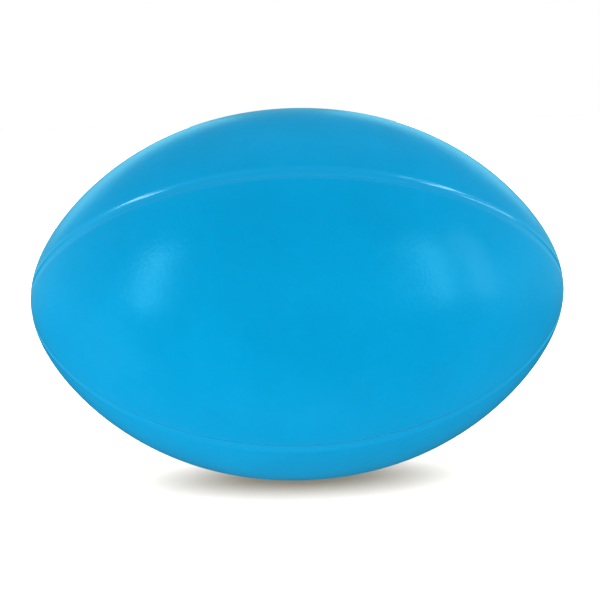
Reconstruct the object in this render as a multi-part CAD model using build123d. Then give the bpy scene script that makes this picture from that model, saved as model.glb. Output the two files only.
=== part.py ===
from build123d import *
import os
from math import atan2, degrees, hypot, sqrt

# A full-size rugby ball, bonded together from four panels round an inflated bladder.
# The long axis is X and the origin is the middle of the ball. The ball lies on the middle of
# its bottom panel, so -Z is down, and -Y is the front. All sizes are in millimetres.

LENGTH = 281.0  # from tip to tip
DIAMETER = 196.0  # across the middle

# Radii of the outline's arcs, which run into each other without a corner.
MIDDLE_ARC = 173.4  # centred below the middle of the ball
SHOULDER_ARC = 140.0
TIP_ARC = 54.0  # centred on the long axis

# The wall, from the outside in.
COVER = 1.1  # skin of a cover panel, and its edges where they turn down
FOAM = 1.6  # soft backing inside each cover panel
PLY = 0.35  # each of the two woven lining plies
BLADDER = 0.7  # rubber of the airtight bladder
PATCH = 1.0  # rubber patch that holds the valve to the inside of the bladder

# The channels between the panels, which run from tip to tip.
CHANNEL_DEPTH = 1.0  # down to the seam strip
CHANNEL_MIDDLE = 5.2  # from panel edge to panel edge at the middle of the ball
CHANNEL_TIP = 3.0  # the same at the tips
SHOULDER = 0.8  # rounding of a panel's outer edge

# The valve, in the middle of the back panel.
NECK_RADIUS = 4.1  # rubber neck of the seat, which fills the hole in the wall
BOSS_RADIUS = 6.5  # thick part of the seat, inside the bladder
PATCH_RADIUS = 17.0
SOCKET_RADIUS = 2.6  # hole down the seat that the core is pushed into
BEAD_RADIUS = 0.9  # bead round the core, which locks it in the seat
BEAD_DEPTH = 9.5  # from the valve's face to the middle of the bead
NEEDLE_RADIUS = 1.1  # hole for the pump's needle
NEEDLE_DEPTH = 13.0  # from the valve's face; a closed slit runs on to the core's tip
FUNNEL = 0.4  # how deep the needle hole's mouth is, and how much wider it gets
VALVE_RECESS = 0.4  # the valve's face is this far below the cover
SEAT_LENGTH = 17.0
CORE_LENGTH = 20.0
CORE_TAPER = 1.3  # bevel of the core's tip

LINING_TURN = 25  # degrees from the outer ply's joints to the inner ply's
PANELS = {"back": 0, "top": 90, "front": 180, "bottom": 270}  # degrees round +X from +Y
SEAMS = {"back_top": 45, "front_top": 135, "front_bottom": 225, "back_bottom": 315}

half_length, radius = LENGTH / 2, DIAMETER / 2
panel_depth = COVER + FOAM
lining_depth = panel_depth + 2 * PLY
bladder_depth = lining_depth + BLADDER
patch_depth = bladder_depth + PATCH
valve_face = radius - VALVE_RECESS
middle_centre = radius - MIDDLE_ARC  # the middle arc's centre, from the long axis
tip_centre = half_length - TIP_ARC  # the tip arc's centre, along the long axis


def shoulder_centre():
    """The shoulder arc touches the middle and tip arcs from inside, so its centre is the
    difference of the radii away from each of theirs."""
    to_middle, to_tip = MIDDLE_ARC - SHOULDER_ARC, SHOULDER_ARC - TIP_ARC
    apart = hypot(tip_centre, middle_centre)
    along = (apart**2 + to_middle**2 - to_tip**2) / (2 * apart)
    aside = sqrt(to_middle**2 - along**2)
    x = (along * tip_centre + aside * middle_centre) / apart
    y = middle_centre + (aside * tip_centre - along * middle_centre) / apart
    return x, y


def outline(depth):
    """Half of the ball's outline at a depth below its surface, as arcs from tip to tip."""
    x, y = shoulder_centre()
    middle_end = degrees(atan2(x, y - middle_centre))
    shoulder_end = degrees(atan2(tip_centre - x, -y))
    turn, tip_turn = shoulder_end - middle_end, 90 - shoulder_end
    return [
        CenterArc((0, middle_centre), MIDDLE_ARC - depth, 90 - middle_end, 2 * middle_end),
        CenterArc((x, y), SHOULDER_ARC - depth, 90 - shoulder_end, turn),
        CenterArc((-x, y), SHOULDER_ARC - depth, 90 + middle_end, turn),
        CenterArc((tip_centre, 0), TIP_ARC - depth, 0, tip_turn),
        CenterArc((-tip_centre, 0), TIP_ARC - depth, 90 + shoulder_end, tip_turn),
    ]


def ball_inside(depth, angle=360):
    """Everything deeper than a depth below the surface, or a slice of it round the long axis."""
    tip = half_length - depth
    half_section = make_face(outline(depth) + [Line((-tip, 0), (tip, 0))])
    return revolve(half_section, Axis.X, angle)


def quarter_layer(outside, inside, middle):
    """A quarter of the layer between two depths, from tip to tip, centred on a direction."""
    slice_of_ball = Rot(X=middle - 45) * ball_inside(outside, 90)
    return slice_of_ball - ball_inside(inside)


def channel(seam, widening=0.0):
    """The space of one channel, from the long axis to outside the ball. Seen from outside it
    is a long lens, widest at the middle of the ball, with widening added on each side."""
    plan = Plane(origin=(0, 0, 0), x_dir=(1, 0, 0), z_dir=(0, 1, 0))
    middle, tip = CHANNEL_MIDDLE / 2 + widening, CHANNEL_TIP / 2 + widening
    near = ThreePointArc((-half_length, tip), (0, middle), (half_length, tip))
    far = ThreePointArc((-half_length, -tip), (0, -middle), (half_length, -tip))
    ends = [Line(near @ 0, far @ 0), Line(near @ 1, far @ 1)]
    return Rot(X=seam) * extrude(plan * make_face([near, far] + ends), radius + COVER)


def rod(rod_radius, bottom, top):
    """A cylinder on the valve's axis, which is the Y axis, between two heights."""
    start = Plane(origin=(0, bottom, 0), z_dir=(0, 1, 0))
    return extrude(start * Circle(rod_radius), top - bottom)


def panel_space(outside, inside, middle, edge=0.0):
    """The part of a quarter layer that stays edge away from the channels on both sides."""
    space = quarter_layer(outside, inside, middle)
    return space - channel(middle - 45, edge) - channel(middle + 45, edge)


def foam_pad(middle):
    return panel_space(COVER, panel_depth, middle, edge=COVER)


def cover_panel(middle):
    """A shallow tray: the skin is outside, and its edges turn down round the foam pad."""
    block = panel_space(0, panel_depth, middle)
    outer_edges = block.edges().sort_by(SortBy.LENGTH)[-2:]
    return fillet(outer_edges, SHOULDER) - foam_pad(middle)


def seam_strip(seam):
    """The strip on the floor of a channel. The four strips meet in a point at each tip."""
    return quarter_layer(CHANNEL_DEPTH, panel_depth, seam) & channel(seam)


def neck_hole():
    return rod(NECK_RADIUS, 0, radius + COVER)


def bladder():
    return ball_inside(lining_depth) - ball_inside(bladder_depth) - neck_hole()


def valve_patch():
    disc = rod(PATCH_RADIUS, valve_face - SEAT_LENGTH, radius) & ball_inside(bladder_depth)
    return disc - ball_inside(patch_depth) - neck_hole()


def plug():
    """The outside of the valve core: a rod with a bead round it and a bevelled tip."""
    stem = rod(SOCKET_RADIUS, valve_face - CORE_LENGTH, valve_face)
    stem = chamfer(stem.edges().sort_by(Axis.Y)[0], CORE_TAPER)
    bead = Torus(SOCKET_RADIUS, BEAD_RADIUS)
    return stem + Pos(0, valve_face - BEAD_DEPTH, 0) * Rot(X=90) * bead


def valve_seat():
    boss = rod(BOSS_RADIUS, valve_face - SEAT_LENGTH, radius) & ball_inside(patch_depth)
    neck = rod(NECK_RADIUS, valve_face - SEAT_LENGTH, valve_face)
    return boss + neck - plug()


def valve_core():
    """The plug, with a blind hole for the needle that opens out like a funnel at its mouth."""
    hole = rod(NEEDLE_RADIUS, valve_face - NEEDLE_DEPTH, valve_face)
    at_top = (Align.CENTER, Align.CENTER, Align.MAX)
    funnel = Cone(NEEDLE_RADIUS, NEEDLE_RADIUS + FUNNEL, FUNNEL, align=at_top)
    return plug() - hole - Pos(0, valve_face, 0) * Rot(X=-90) * funnel


nodes = {
    "bladder": bladder(),
    "valve_patch": valve_patch(),
    "valve_seat": valve_seat(),
    "valve_core": valve_core(),
}
for place, middle in PANELS.items():
    turned = middle + LINING_TURN
    nodes["cover_panel_" + place] = cover_panel(middle)
    nodes["foam_pad_" + place] = foam_pad(middle)
    nodes["lining_outer_" + place] = quarter_layer(panel_depth, panel_depth + PLY, middle)
    nodes["lining_inner_" + place] = quarter_layer(panel_depth + PLY, lining_depth, turned)
for place, seam in SEAMS.items():
    nodes["seam_strip_" + place] = seam_strip(seam)
for pierced in ("cover_panel_back", "foam_pad_back", "lining_outer_back", "lining_inner_back"):
    nodes[pierced] = nodes[pierced] - neck_hole()

os.makedirs("parts", exist_ok=True)
for name, shape in nodes.items():
    export_step(shape, "parts/" + name + ".step")
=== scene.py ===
from math import cos, pi, radians, sin, sqrt

import bmesh
import bpy
import numpy as np
from mathutils import Matrix, Vector


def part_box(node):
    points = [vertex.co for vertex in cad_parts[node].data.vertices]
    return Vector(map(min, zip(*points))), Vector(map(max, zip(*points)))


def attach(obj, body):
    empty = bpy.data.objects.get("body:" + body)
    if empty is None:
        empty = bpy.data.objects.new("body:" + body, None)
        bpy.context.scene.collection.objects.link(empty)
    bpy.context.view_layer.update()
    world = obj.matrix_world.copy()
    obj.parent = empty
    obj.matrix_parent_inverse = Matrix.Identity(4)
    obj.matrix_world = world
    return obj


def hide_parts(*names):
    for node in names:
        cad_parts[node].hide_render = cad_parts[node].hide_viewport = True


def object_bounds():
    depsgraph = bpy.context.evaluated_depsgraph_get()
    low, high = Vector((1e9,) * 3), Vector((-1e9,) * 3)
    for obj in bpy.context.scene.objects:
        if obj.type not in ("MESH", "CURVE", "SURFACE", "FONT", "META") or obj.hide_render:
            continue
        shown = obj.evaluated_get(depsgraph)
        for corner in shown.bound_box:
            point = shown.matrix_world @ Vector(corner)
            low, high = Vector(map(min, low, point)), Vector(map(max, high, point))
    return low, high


# A rugby ball, bonded from four glossy blue panels with shallow channels between them.
# The long axis is X, the ball lies on its bottom panel, and -Y is the front. Sizes are metres.

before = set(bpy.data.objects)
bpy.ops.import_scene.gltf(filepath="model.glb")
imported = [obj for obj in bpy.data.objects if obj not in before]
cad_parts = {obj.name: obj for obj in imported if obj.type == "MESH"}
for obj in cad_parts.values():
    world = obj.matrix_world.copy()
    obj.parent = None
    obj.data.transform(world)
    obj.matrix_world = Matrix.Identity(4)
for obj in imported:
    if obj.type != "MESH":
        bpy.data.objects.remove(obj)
cad_low, cad_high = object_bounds()
scene = bpy.context.scene
mm = 0.001

# The ball and its wall, as the CAD has them.
LINING_DEPTH = 3.4 * mm  # from the outside of the ball to the bladder
PANEL_DEPTH = 2.7 * mm  # from the outside of the ball to the back of a cover panel
SLIMMER_SHOULDER = 0.056
SLIMMER_TIP = 0.11
radius = (cad_high[2] - cad_low[2]) / 2
half_length = (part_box("bladder")[1][0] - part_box("bladder")[0][0]) / 2 + LINING_DEPTH

# The channels, given at the middle of the ball; towards the tips they narrow.
GROOVE_DEPTH = 1.0 * mm
GROOVE_HALF = 3.15 * mm  # from the middle of a channel to its shoulders
SHOULDER_SOFTNESS = 0.05 * mm  # higher rounds the shoulders more
EDGE_HALF = 2.2 * mm  # from the middle of a channel to the edge of a panel
TIP_NARROWING = 0.42  # share of its width that a channel loses at the tip
RIDGE_ROUNDING = 5  # higher makes the ridge of a panel's tip sharper

# The valve, in the middle of the back panel.
HOLE_RADIUS = 4.1 * mm
HOLE_LIP = 0.45 * mm
SOCKET_RADIUS = 2.6 * mm  # where the seat and the core meet
BEAD_RADIUS = 0.9 * mm
BEAD_DEPTH = 9.5 * mm  # from the valve's face to the middle of the bead
NEEDLE_RADIUS = 1.1 * mm
NEEDLE_DEPTH = 13 * mm
BOSS_RADIUS = 6.5 * mm
BOSS_DEPTH = 5.2 * mm  # from the outside of the ball to the top of the boss
valve_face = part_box("valve_core")[1][1]
core_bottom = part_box("valve_core")[0][1]
seat_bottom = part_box("valve_seat")[0][1]

# Grids: how many points, and how they crowd.
PANEL_ROWS, PANEL_COLUMNS = 241, 161
EDGE_CROWDING = 4.5  # higher puts more of a panel's columns near its edges
WINDOW = 5  # half the window round the valve, in cells of the panel's grid
RINGS = 14
TIP_ROWS, STRIP_COLUMNS = 31, 33
SHARP_ANGLE = radians(35)  # edges that bend more stay sharp
ROW_EASE = 0.6  # higher puts more rows near the tips

# Colours and gloss.
SKIN_BLUE = (0.0, 0.255, 0.505)
SKIN_TINT = (0.10, 0.75, 1.0)  # colour of the skin's reflections
CHANNEL_PALER = 1.08  # makes up for what the channels' clear coat holds back
PANEL_ROUGHNESS = 0.15
STRIP_ROUGHNESS = 0.18
COAT_ROUGHNESS = 0.14
GRAIN_START, GRAIN_FULL = 4.2 * mm, 7 * mm  # the grain fades in over this much of |y| - |z|
GRAIN_HEIGHT = 0.085 * mm
FLOOR_GREYS = 0.29, 0.31  # a middle grey: the floor's own lamp burns it out to white

# Camera, light and floor.
CAMERA_DISTANCE = 12 * radius
CAMERA_LIFT = radians(7.05)
CAMERA_YAW = radians(0.4)
CAMERA_ROLL = radians(-1.5)
CAMERA_SHIFT = (0.0045, -0.0097)
SENSOR_WIDTH = 36
FOCAL_WIDTHS = 3.713  # focal length as a number of picture widths
WORLD_LIGHT = 1.07
HORIZON_GLOSS = 0.6
OVERHEAD_GLOSS = 0.2
BELOW_GLOSS = 0.12
GLOSS_TINT = (0.35, 0.9, 1.0)  # colour of the room as the ball mirrors it
SOFTBOX_DISTANCE = 1.3
SOFTBOX_HEIGHT = 0.78
SOFTBOX_LIFT = 15  # degrees above the horizon
SOFTBOXES = {  # degrees to the right of the front, width, watts
    "left": (-56, 0.17, 2.7),
    "right": (53.5, 0.13, 2.2),
    "right_strip": (73, 0.06, 1.1),
    "inner_strip": (40, 0.07, 0.4),
}
RIM_DISTANCE = 1.5
RIMS = {  # direction, width, height, watts
    "left_rim": ((-0.38, 0.86, 0.34), 0.9, 0.45, 1.0),
    "right_rim": ((0.33, 0.89, 0.32), 0.8, 0.45, 0.8),
}
FILLS = {  # direction, distance, width, height, watts
    "left_fill": ((-1, -0.2, -0.4), 1.5, 0.8, 0.8, 8),
    "right_fill": ((1, -0.1, 0.05), 1.5, 0.8, 0.8, 2.5),
    "low_fill": ((0, -0.5, -0.85), 1.5, 1.2, 0.8, 6),
    "top_fill": ((0, 0.35, 1), 1.8, 1.5, 1.5, 5.5),
}
FLOOR_LAMP_STRENGTH = 24
FLOOR_LAMP_SPREAD = radians(150)
FLOOR_HALF = 4

PANELS = {"back": 0, "top": 90, "front": 180, "bottom": 270}  # degrees round +X from +Y
SEAMS = {"back_top": 45, "front_top": 135, "front_bottom": 225, "back_bottom": 315}


# ---------------------------------------------------------------- shape of the ball

def outline(turn):
    """Place along the axis, distance from it, and outward direction of the outline at a turn.
    x = half_length sin(turn) and r = radius cos(turn) (1 - a s^2 - b s^4), with s = sin(turn)."""
    s, c = np.sin(turn), np.cos(turn)
    slim = 1 - SLIMMER_SHOULDER * s**2 - SLIMMER_TIP * s**4
    slim_slope = -2 * SLIMMER_SHOULDER * s * c - 4 * SLIMMER_TIP * s**3 * c
    along, out = half_length * c, radius * (c * slim_slope - s * slim)
    size = np.hypot(along, out)
    return half_length * s, radius * c * slim, -out / size, along / size


def narrowing(x):
    """Width of a channel at x as a share of its width at the middle of the ball."""
    return 1 - TIP_NARROWING * (x / half_length) ** 2


def drop(x, y, z):
    """How far the surface lies below the plain ball. Across a channel it is a parabola, whose
    corners at the shoulders are rounded by a soft maximum with 0: softness times the logarithm
    of 1 + exp(bowl / softness). Round the valve it rolls over the edge of a round hole. The
    distance to the channels is a smooth minimum over the two planes that they lie in."""
    first, second = np.abs(y - z) / sqrt(2) + 1e-9, np.abs(y + z) / sqrt(2) + 1e-9
    nearest = (first**-RIDGE_ROUNDING + second**-RIDGE_ROUNDING) ** (-1 / RIDGE_ROUNDING)
    away = nearest / narrowing(x)
    bowl = GROOVE_DEPTH * (1 - (away / GROOVE_HALF) ** 2)
    groove = SHOULDER_SOFTNESS * np.logaddexp(0, bowl / SHOULDER_SOFTNESS)
    from_valve = np.where(y > 0, np.hypot(x, z), half_length)
    rolled = np.clip(HOLE_RADIUS + HOLE_LIP - from_valve, 0, HOLE_LIP)
    return groove + HOLE_LIP - np.sqrt(HOLE_LIP**2 - rolled**2)


def on_ball(turn, angle, depth=None):
    """Points at a turn along the outline and an angle round the axis. They lie at a constant
    depth below the plain ball, or on the real surface where no depth is given."""
    x, r, out_x, out_r = outline(turn)
    y, z = r * np.cos(angle), r * np.sin(angle)
    x = x + 0 * angle
    if depth is None:
        depth = drop(x, y, z)
    across, up = out_r * np.cos(angle), out_r * np.sin(angle)
    return np.stack([x - depth * out_x, y - depth * across, z - depth * up], -1)


# ---------------------------------------------------------------- meshes

def grid_faces(rows, columns, first=0, closed=False):
    """Four-cornered faces of a grid of points numbered row by row from first."""
    i = np.arange(rows - 1)[:, None]
    j = np.arange(columns if closed else columns - 1)[None, :]
    here = first + i * columns + j
    beside = first + i * columns + (j + 1) % columns
    return np.stack([here, beside, beside + columns, here + columns], -1)


def make_piece(name, points, faces, material):
    """One mesh from points and four-cornered faces. Points that fall together are merged,
    which closes the poles, and the faces are turned outwards. Diffuse rays pass through the
    piece, so it throws none of its blue on the floor."""
    mesh = bpy.data.meshes.new(name)
    mesh.from_pydata(points.tolist(), [], faces.reshape(-1, 4).tolist())
    shape = bmesh.new()
    shape.from_mesh(mesh)
    bmesh.ops.remove_doubles(shape, verts=shape.verts, dist=1e-6)
    bmesh.ops.recalc_face_normals(shape, faces=shape.faces)
    shape.to_mesh(mesh)
    shape.free()
    mesh.shade_smooth()
    mesh.set_sharp_from_angle(angle=SHARP_ANGLE)
    mesh.materials.append(material)
    piece = bpy.data.objects.new(name, mesh)
    scene.collection.objects.link(piece)
    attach(piece, "root")
    piece.visible_diffuse = False
    return piece


def wall_between(outer, inner, skip=None):
    """Points and faces of a sheet with two sides, given as two grids of the same size. Its rim
    is closed, and skip leaves out a window of the grid: (row, row, column, column)."""
    rows, columns = outer.shape[:2]
    count = rows * columns
    number = np.arange(count).reshape(rows, columns)
    face = grid_faces(rows, columns)
    keep = np.ones(face.shape[:2], bool)
    if skip:
        keep[skip[0]:skip[1], skip[2]:skip[3]] = False
    rim = np.concatenate([number[0, :-1], number[:-1, -1], number[-1, :0:-1], number[:0:-1, 0]])
    after = np.roll(rim, -1)
    band = np.stack([rim, after, after + count, rim + count], -1)
    sides = [face[keep], face[keep][:, ::-1] + count, band]
    return np.concatenate([outer.reshape(-1, 3), inner.reshape(-1, 3)]), np.concatenate(sides)


def eased(count):
    """count values from -1 to 1, closer together at both ends: a line mixed with a sine."""
    even = np.linspace(-1, 1, count)
    return (1 - ROW_EASE) * even + ROW_EASE * np.sin(pi / 2 * even)


def panel_turns():
    """Turns of a panel's rows. They end where the panel runs out between two channels."""
    turns = np.linspace(1.2, pi / 2 - 1e-4, 4000)
    x, r = outline(turns)[:2]
    tip = np.interp(0, EDGE_HALF * narrowing(x) - r / sqrt(2), turns)
    return tip * eased(PANEL_ROWS)


def reach_of(x, r):
    """Angle round the axis from the middle of a channel to the edge of a panel."""
    return np.arcsin(np.minimum(EDGE_HALF * narrowing(x) / np.maximum(r, 1e-7), sqrt(0.5)))


def panel_grid():
    """Turns and angles of a panel's grid. Its columns crowd at its edges as a hyperbolic sine."""
    turn = panel_turns()[:, None]
    half_angle = pi / 4 - reach_of(*outline(turn)[:2])
    across = np.linspace(-1, 1, PANEL_COLUMNS)[None, :]
    inwards = np.sinh(EDGE_CROWDING * (1 - np.abs(across))) / np.sinh(EDGE_CROWDING)
    return turn + 0 * across, half_angle * np.sign(across) * (1 - inwards)


def cover_panel(place, material):
    """A panel: the real surface outside, and a layer at constant depth behind it."""
    turn, angle = panel_grid()
    angle = angle + radians(PANELS[place])
    outer, inner = on_ball(turn, angle), on_ball(turn, angle, PANEL_DEPTH)
    if place != "back":
        return make_piece("panel_" + place, *wall_between(outer, inner), material)
    row, column = PANEL_ROWS // 2, PANEL_COLUMNS // 2
    window = (row - WINDOW, row + WINDOW, column - WINDOW, column + WINDOW)
    points, faces = wall_between(outer, inner, window)
    ring_points, ring_faces = valve_surround(turn, angle, window)
    faces = np.concatenate([faces, ring_faces + len(points)])
    return make_piece("panel_" + place, np.concatenate([points, ring_points]), faces, material)


def valve_surround(turn, angle, window):
    """Fills the window of the back panel's grid round the valve's hole. Spokes run from the
    hole's circle to the window's rim, with rings between them that crowd at the hole."""
    low, high, left, right = window
    rim = [(low, c) for c in range(left, right)] + [(r, right) for r in range(low, high)]
    rim += [(high, c) for c in range(right, left, -1)] + [(r, left) for r in range(high, low, -1)]
    rows, columns = np.array(rim).T
    rim_x, rim_r = outline(turn[rows, columns])[:2]
    rim_z = rim_r * np.sin(angle[rows, columns])
    around = np.arctan2(rim_z, rim_x)
    out = (np.linspace(0, 1, RINGS) ** 2)[:, None]
    x = (1 - out) * HOLE_RADIUS * np.cos(around) + out * rim_x
    z = (1 - out) * HOLE_RADIUS * np.sin(around) + out * rim_z
    ring_turn = np.arcsin(x / half_length)
    ring_angle = np.arcsin(z / outline(ring_turn)[1])
    outer = on_ball(ring_turn, ring_angle)
    inner = on_ball(ring_turn, ring_angle, PANEL_DEPTH)
    count = outer.shape[0] * outer.shape[1]
    face = grid_faces(RINGS, len(rim), closed=True).reshape(-1, 4)
    hole = np.arange(len(rim))
    after = np.roll(hole, -1)
    wall = np.stack([hole, after, after + count, hole + count], -1)
    faces = np.concatenate([face, face[:, ::-1] + count, wall])
    return np.concatenate([outer.reshape(-1, 3), inner.reshape(-1, 3)]), faces


def seam_strip(place, material):
    """The floor of a channel and the foot of its two walls, from tip to tip. It has the rows of
    the panels beside it, so that their edges meet point to point, and more rows out to the
    tips, where the four strips meet and end in points."""
    turns = panel_turns()
    onward = np.linspace(turns[-1], pi / 2, TIP_ROWS)[1:]
    turn = np.concatenate([-onward[::-1], turns, onward])[:, None]
    across = np.linspace(-1, 1, STRIP_COLUMNS)[None, :]
    angle = reach_of(*outline(turn)[:2]) * across + radians(SEAMS[place])
    turn = turn + 0 * angle
    outer, inner = on_ball(turn, angle), on_ball(turn, angle, PANEL_DEPTH)
    return make_piece("strip_" + place, *wall_between(outer, inner), material)


def turned(name, profile, material, spokes=72):
    """A piece turned on the valve's axis: a closed profile of (distance from the axis, height)
    pairs, carried round the Y axis."""
    distance, height = profile.T[:, None, :]
    around = np.linspace(0, 2 * pi, spokes, endpoint=False)[:, None]
    points = [distance * np.sin(around), height + 0 * around, distance * np.cos(around)]
    columns = len(profile)
    i, j = np.arange(spokes)[:, None], np.arange(columns)[None, :]
    here, beside = i * columns + j, i * columns + (j + 1) % columns
    onward, over = (i + 1) % spokes * columns + j, (i + 1) % spokes * columns + (j + 1) % columns
    faces = np.stack([here, beside, over, onward], -1)
    return make_piece(name, np.stack(points, -1).reshape(-1, 3), faces, material)


def rounded(corners, steps=6):
    """A profile from (distance, height, rounding) corners. A corner with a rounding becomes a
    short parabola between the two points that lie that far from it on its sides."""
    corner = np.array(corners)
    place, cut = corner[:, :2], corner[:, 2:]
    before, after = np.roll(place, 1, 0) - place, np.roll(place, -1, 0) - place
    start = (place + before / np.linalg.norm(before, axis=1, keepdims=True) * cut)[:, None]
    end = (place + after / np.linalg.norm(after, axis=1, keepdims=True) * cut)[:, None]
    part = np.linspace(0, 1, steps)[None, :, None]
    curve = (1 - part) ** 2 * start + 2 * part * (1 - part) * place[:, None] + part**2 * end
    return curve.reshape(-1, 2)


def bead_corners(rising):
    """The half circle of the bead, which the core has and the seat makes room for."""
    swing = np.linspace(-pi / 2, pi / 2, 9) * (1 if rising else -1)
    middle = valve_face - BEAD_DEPTH
    return [(SOCKET_RADIUS + BEAD_RADIUS * cos(a), middle + BEAD_RADIUS * sin(a), 0) for a in swing]


def valve_seat(material):
    """A neck in the hole of the wall, a boss inside the bladder, and a socket down the middle."""
    boss_top = radius - BOSS_DEPTH
    corners = [
        (SOCKET_RADIUS, valve_face, 0.25 * mm),
        (HOLE_RADIUS, valve_face, 0.3 * mm),
        (HOLE_RADIUS, boss_top, 0),
        (BOSS_RADIUS, boss_top, 0.8 * mm),
        (BOSS_RADIUS, seat_bottom, 0.8 * mm),
        (SOCKET_RADIUS, seat_bottom, 0.3 * mm),
    ]
    return turned("valve_seat_ring", rounded(corners + bead_corners(rising=True)), material)


def valve_core(material):
    """A plug with a bead round it, a bevelled tip, and a blind hole with a dished mouth."""
    tiny = 0.01 * mm
    corners = [
        (tiny, valve_face - NEEDLE_DEPTH, 0),
        (NEEDLE_RADIUS, valve_face - NEEDLE_DEPTH, 0.3 * mm),
        (NEEDLE_RADIUS, valve_face - 0.1 * mm, 0.35 * mm),
        (SOCKET_RADIUS, valve_face, 0.25 * mm),
    ]
    tip = [
        (SOCKET_RADIUS, core_bottom + 1.3 * mm, 0.3 * mm),
        (SOCKET_RADIUS - 1.3 * mm, core_bottom, 0.3 * mm),
        (tiny, core_bottom, 0),
    ]
    return turned("valve_core_plug", rounded(corners + bead_corners(rising=False) + tip), material)


# ---------------------------------------------------------------- materials

class Value:
    """A shader socket that can be used in sums. Each operator adds one Math node."""

    def __init__(self, finish, socket):
        self.finish, self.socket = finish, socket

    def math(self, operation, *others):
        return self.finish.node("ShaderNodeMath", {"operation": operation}, [self, *others])

    def __add__(self, other):
        return self.math("ADD", other)

    def __sub__(self, other):
        return self.math("SUBTRACT", other)

    def __rsub__(self, other):
        return self.math("MULTIPLY", -1).math("ADD", other)

    def __mul__(self, other):
        return self.math("MULTIPLY", other)

    __radd__ = __add__
    __rmul__ = __mul__

    def sine(self):
        return self.math("SINE")

    def smooth(self, low, high):
        """0 below low, 1 above high, and a smooth rise between."""
        settings = {"interpolation_type": "SMOOTHSTEP"}
        inputs = {"Value": self, "From Min": low, "From Max": high}
        return self.finish.node("ShaderNodeMapRange", settings, inputs)


class Nodes:
    """A node tree under construction."""

    def __init__(self, tree):
        self.tree = tree

    def put(self, socket, value):
        """Links a Value to a socket, or writes a plain number, vector or colour into it."""
        if isinstance(value, Value):
            self.tree.links.new(value.socket, socket)
        else:
            socket.default_value = value

    def node(self, kind, settings=None, inputs=(), output=0):
        """Adds a node, sets it up, and fills its sockets with values or links."""
        made = self.tree.nodes.new(kind)
        for name, value in (settings or {}).items():
            setattr(made, name, value)
        pairs = inputs.items() if isinstance(inputs, dict) else enumerate(inputs)
        for key, value in pairs:
            self.put(made.inputs[key], value)
        return Value(self, made.outputs[output])

    def axes(self, place):
        """X, Y and Z of a vector, as three values."""
        apart = self.tree.nodes.new("ShaderNodeSeparateXYZ")
        self.tree.links.new(place.socket, apart.inputs[0])
        return [Value(self, output) for output in apart.outputs]

    def mix(self, share, first, second):
        """Colour between first, at share 0, and second, at share 1."""
        made = self.tree.nodes.new("ShaderNodeMix")
        made.data_type = "RGBA"
        factor, *colours = [s for s in made.inputs if s.enabled]
        self.put(factor, share)
        self.put(colours[0], (*first, 1) if isinstance(first, tuple) else first)
        self.put(colours[1], (*second, 1) if isinstance(second, tuple) else second)
        return Value(self, next(s for s in made.outputs if s.enabled))


class Finish(Nodes):
    """A material under construction: one Principled shader and the nodes that feed it."""

    def __init__(self, name, **sockets):
        self.material = bpy.data.materials.new(name)
        self.material.use_nodes = True
        super().__init__(self.material.node_tree)
        self.shader = next(n for n in self.tree.nodes if n.type == "BSDF_PRINCIPLED")
        self.set(**sockets)
        self.place = self.node("ShaderNodeTexCoord", output="Object")

    def set(self, **sockets):
        """Puts values or links on the shader's own sockets; an underscore stands for a space."""
        for name, value in sockets.items():
            self.put(self.shader.inputs[name.replace("_", " ")], value)

    def noise(self, size, detail=2.0, roughness=0.5):
        """Soft noise from 0 to 1 whose patches are about size metres across."""
        inputs = {"Vector": self.place, "Scale": 1 / size, "Detail": detail, "Roughness": roughness}
        return self.node("ShaderNodeTexNoise", {}, inputs)

    def cells(self, size, feature="F1"):
        """Distance from the middles, or the edges, of irregular cells about size metres wide."""
        inputs = {"Vector": self.place, "Scale": 1 / size}
        return self.node("ShaderNodeTexVoronoi", {"feature": feature}, inputs)

    def bump(self, height, distance):
        """Bump whose height of 1 stands distance metres proud."""
        return self.node("ShaderNodeBump", {}, {"Height": height, "Distance": distance})


def skin_finish(name, colour, roughness):
    """Glossy blue skin. Its colour wanders a little over centimetres, the gloss is uneven where
    hands have dulled it, and a fine pebbled grain breaks up the reflections. The channels are
    smoother and shinier: the grain fades out where the nearer channel is under a few mm away."""
    skin = Finish(name, IOR=1.5, Specular_Tint=(*SKIN_TINT, 1), Coat_Roughness=COAT_ROUGHNESS)
    x, y, z = skin.axes(skin.place)
    nearest = (y - z).math("ABSOLUTE").math("MINIMUM", (y + z).math("ABSOLUTE"))
    grained = nearest.smooth(GRAIN_START, GRAIN_FULL)
    cloudy = skin.noise(38 * mm, 3.0, 0.55).smooth(0.3, 0.7)
    fine = skin.noise(4 * mm, 2.0).smooth(0.25, 0.75)
    paler = tuple(c * 1.04 for c in colour)
    deeper = tuple(c * 0.96 for c in colour)
    mottled = skin.mix(cloudy * 0.75 + fine * 0.25, deeper, paler)
    skin.set(Base_Color=skin.mix(grained, tuple(c * CHANNEL_PALER for c in colour), mottled))
    handled = skin.noise(14 * mm, 3.0, 0.6).smooth(0.4, 0.75)
    skin.set(Roughness=roughness + 0.05 * grained + 0.04 * handled, Coat_Weight=1 - grained)
    pebbles = skin.cells(1.7 * mm, "SMOOTH_F1")
    grain = skin.noise(0.7 * mm, 2.0, 0.6)
    height = grain * 0.8 - pebbles * 0.6
    skin.set(Normal=skin.bump(height * grained, GRAIN_HEIGHT))
    return skin.material


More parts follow.
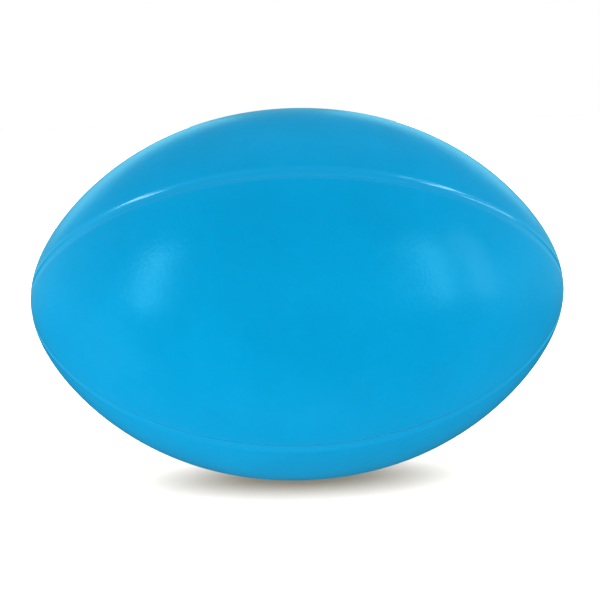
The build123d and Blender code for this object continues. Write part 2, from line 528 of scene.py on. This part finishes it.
def rubber_finish(name, colour, dust, roughness=0.55):
    """Moulded rubber: nearly black, with pale dust in soft patches and a fine matt grain."""
    rubber = Finish(name, IOR=1.52, Specular_IOR_Level=0.4)
    patches = rubber.noise(7 * mm, 4.0, 0.65).smooth(0.42, 0.8)
    specks = rubber.noise(0.8 * mm, 2.0).smooth(0.55, 0.8)
    dusty = tuple(c + dust for c in colour)
    rubber.set(Base_Color=rubber.mix(patches * 0.7 + specks * 0.3, colour, dusty))
    rubber.set(Roughness=roughness + 0.25 * patches)
    rubber.set(Normal=rubber.bump(rubber.noise(0.35 * mm, 3.0, 0.6), 0.02 * mm))
    return rubber.material


def foam_finish():
    """Closed-cell backing foam: cream, slightly yellowed in patches, with a skin of small cells
    whose sunken middles are darker: painted shade.
    """
    foam = Finish("cream_foam", IOR=1.4, Specular_IOR_Level=0.2)
    cells = foam.cells(0.9 * mm)
    aged = foam.noise(22 * mm, 3.0).smooth(0.35, 0.7)
    # painted shade: the middles of the cells, which the bump sinks, are darker than their walls
    cells_painted_shade = foam.mix(cells.smooth(0.2, 0.7), (0.62, 0.55, 0.40), (0.78, 0.74, 0.62))
    foam.set(Base_Color=foam.mix(aged * 0.4, cells_painted_shade, (0.70, 0.58, 0.34)))
    foam.set(Roughness=0.85 + 0.1 * aged, Normal=foam.bump(cells, 0.12 * mm))
    return foam.material


def lining_finish(name, colour, thread=0.9 * mm):
    """Woven lining: threads along the ball cross threads round it, over and under by turns. The
    height is a sine along the ball times a sine round it, and slubs vary the threads' tone.
    Where the height is low, between the threads, the colour is darker: painted shade."""
    cloth = Finish(name, IOR=1.45, Specular_IOR_Level=0.2, Sheen_Weight=0.15)
    x, y, z = cloth.axes(cloth.place)
    round_ball = z.math("ARCTAN2", y) * radius
    warp, weft = (x * (pi / thread)).sine(), (round_ball * (pi / thread)).sine()
    weave = warp * weft * 0.5 + 0.5
    slub = cloth.noise(3 * mm, 3.0, 0.7)
    # painted shade: the weave's low points, between the threads, are mixed towards a darker colour
    darker = tuple(c * 0.62 for c in colour)
    cloth.set(Base_Color=cloth.mix(weave * 0.6 + slub * 0.4, darker, colour))
    cloth.set(Roughness=0.8 + 0.15 * slub, Normal=cloth.bump(weave + slub * 0.3, 0.15 * mm))
    return cloth.material


def floor_finish():
    """Matt grey paper with the faintest mottling, which its lamp makes look white."""
    paper = Finish("white_floor", Specular_IOR_Level=0.1)
    darker, paler = ((grey, grey, grey) for grey in FLOOR_GREYS)
    paper.set(Base_Color=paper.mix(paper.noise(0.2), darker, paler))
    paper.set(Roughness=0.9 + 0.05 * paper.noise(2 * mm))
    return paper.material


# ---------------------------------------------------------------- the pieces

def finish_node(node, material):
    """Gives a CAD node that stays its material."""
    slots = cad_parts[node].data.materials
    slots.clear()
    slots.append(material)


def build_ball():
    skin = skin_finish("blue_skin", SKIN_BLUE, PANEL_ROUGHNESS)
    strip = skin_finish("blue_strip", SKIN_BLUE, STRIP_ROUGHNESS)
    valve_rubber = rubber_finish("valve_rubber", (0.016, 0.016, 0.018), 0.03)
    for place in PANELS:
        panel = cover_panel(place, skin)
        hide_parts("cover_panel_" + place)
    for place in SEAMS:
        channel_floor = seam_strip(place, strip)
        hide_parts("seam_strip_" + place)
    valve = {"valve_seat": valve_seat(valve_rubber), "valve_core": valve_core(valve_rubber)}
    for node, piece in valve.items():
        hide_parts(node)
    foam = foam_finish()
    outer_lining = lining_finish("outer_lining", (0.72, 0.70, 0.64))
    inner_lining = lining_finish("inner_lining", (0.62, 0.64, 0.66))
    for place in PANELS:
        finish_node("foam_pad_" + place, foam)
        finish_node("lining_outer_" + place, outer_lining)
        finish_node("lining_inner_" + place, inner_lining)
    finish_node("bladder", rubber_finish("bladder_rubber", (0.022, 0.020, 0.019), 0.09, 0.5))
    finish_node("valve_patch", rubber_finish("patch_rubber", (0.030, 0.028, 0.027), 0.05, 0.6))


# ---------------------------------------------------------------- camera, light and floor

def add_camera():
    """Looks at the middle of the ball from the front, a little above it."""
    flat = cos(CAMERA_LIFT)
    back = Vector((-sin(CAMERA_YAW) * flat, -cos(CAMERA_YAW) * flat, sin(CAMERA_LIFT)))
    level = Vector((0, 0, 1)).cross(back).normalized()
    up = back.cross(level)
    right = cos(CAMERA_ROLL) * level + sin(CAMERA_ROLL) * up
    top = -sin(CAMERA_ROLL) * level + cos(CAMERA_ROLL) * up
    data = bpy.data.cameras.new("camera")
    data.sensor_width = SENSOR_WIDTH
    data.lens = SENSOR_WIDTH * FOCAL_WIDTHS
    data.shift_x, data.shift_y = CAMERA_SHIFT
    data.clip_start, data.clip_end = 0.01, 100
    camera = bpy.data.objects.new("camera", data)
    scene.collection.objects.link(camera)
    turn = Matrix((right, top, back)).transposed().to_4x4()
    camera.matrix_world = Matrix.Translation(back * CAMERA_DISTANCE) @ turn
    scene.camera = camera


def add_softbox(name, direction, distance, width, height, power, tint=(1, 1, 1), glossy=True):
    """A soft light that faces the middle of the ball from a direction."""
    data = bpy.data.lights.new(name, "AREA")
    data.shape = "RECTANGLE"
    data.size, data.size_y = width, height
    data.energy, data.color = power, tint
    lamp = bpy.data.objects.new(name, data)
    scene.collection.objects.link(lamp)
    lamp.location = Vector(direction).normalized() * distance
    lamp.rotation_mode = "QUATERNION"
    lamp.rotation_quaternion = Vector(direction).to_track_quat("Z", "Y")
    lamp.visible_camera, lamp.visible_glossy = False, glossy


def add_world():
    """An even room. The camera sees it white, and matt surfaces are lit by it evenly. Glossy
    ones mirror a dimmer, tinted room: brightest at the horizon, darker overhead and below."""
    world = bpy.data.worlds.new("studio")
    scene.world = world
    world.use_nodes = True
    world.cycles.sampling_method = "NONE"
    room = Nodes(world.node_tree)
    background = world.node_tree.nodes["Background"]
    seen = room.node("ShaderNodeLightPath", output="Is Camera Ray")
    mirrored = room.node("ShaderNodeLightPath", output="Is Glossy Ray")
    up = room.axes(room.node("ShaderNodeTexCoord", output="Generated"))[2]
    in_gloss = BELOW_GLOSS + (HORIZON_GLOSS - BELOW_GLOSS) * up.smooth(-0.3, 0.05)
    in_gloss = in_gloss + (OVERHEAD_GLOSS - HORIZON_GLOSS) * up.smooth(0.1, 0.8)
    in_light = WORLD_LIGHT * (1 - mirrored) + in_gloss * mirrored
    room.put(background.inputs["Color"], room.mix(mirrored, (1, 1, 1), GLOSS_TINT))
    room.put(background.inputs["Strength"], seen + in_light * (1 - seen))


def add_light(floor):
    """Tall softboxes in front, tinted wide ones behind, and fills that the ball doesn't mirror.
    One very wide lamp above lights only the floor, and burns it out to white up to the ball's
    contact shadow."""
    add_world()
    for place, (turn, width, power) in SOFTBOXES.items():
        flat = cos(radians(SOFTBOX_LIFT))
        aim = (sin(radians(turn)) * flat, -cos(radians(turn)) * flat, sin(radians(SOFTBOX_LIFT)))
        add_softbox(place + "_softbox", aim, SOFTBOX_DISTANCE, width, SOFTBOX_HEIGHT, power)
    for place, (aim, width, height, power) in RIMS.items():
        add_softbox(place + "_softbox", aim, RIM_DISTANCE, width, height, power, GLOSS_TINT)
    for name, fill in FILLS.items():
        add_softbox(name, *fill, glossy=False)
    data = bpy.data.lights.new("floor_sky", "SUN")
    data.energy, data.angle = FLOOR_LAMP_STRENGTH, FLOOR_LAMP_SPREAD
    sky = bpy.data.objects.new("floor_sky", data)
    scene.collection.objects.link(sky)
    sky.visible_camera = sky.visible_glossy = False
    lit = bpy.data.collections.new("lit_by_floor_sky")
    lit.objects.link(floor)
    sky.light_linking.receiver_collection = lit


def add_floor():
    """A plain floor that touches the bottom panel. The ball doesn't see it: in its place the
    room goes on below, and the low fill shines through it."""
    mesh = bpy.data.meshes.new("floor")
    low = float(cad_low[2])
    corners = [(-FLOOR_HALF, -FLOOR_HALF, low), (FLOOR_HALF, -FLOOR_HALF, low)]
    corners += [(FLOOR_HALF, FLOOR_HALF, low), (-FLOOR_HALF, FLOOR_HALF, low)]
    mesh.from_pydata(corners, [], [(0, 1, 2, 3)])
    mesh.materials.append(floor_finish())
    floor = bpy.data.objects.new("floor", mesh)
    scene.collection.objects.link(floor)
    floor.visible_diffuse = floor.visible_glossy = floor.visible_shadow = False
    return floor


build_ball()
add_light(add_floor())
add_camera()
scene.view_settings.view_transform = "Standard"
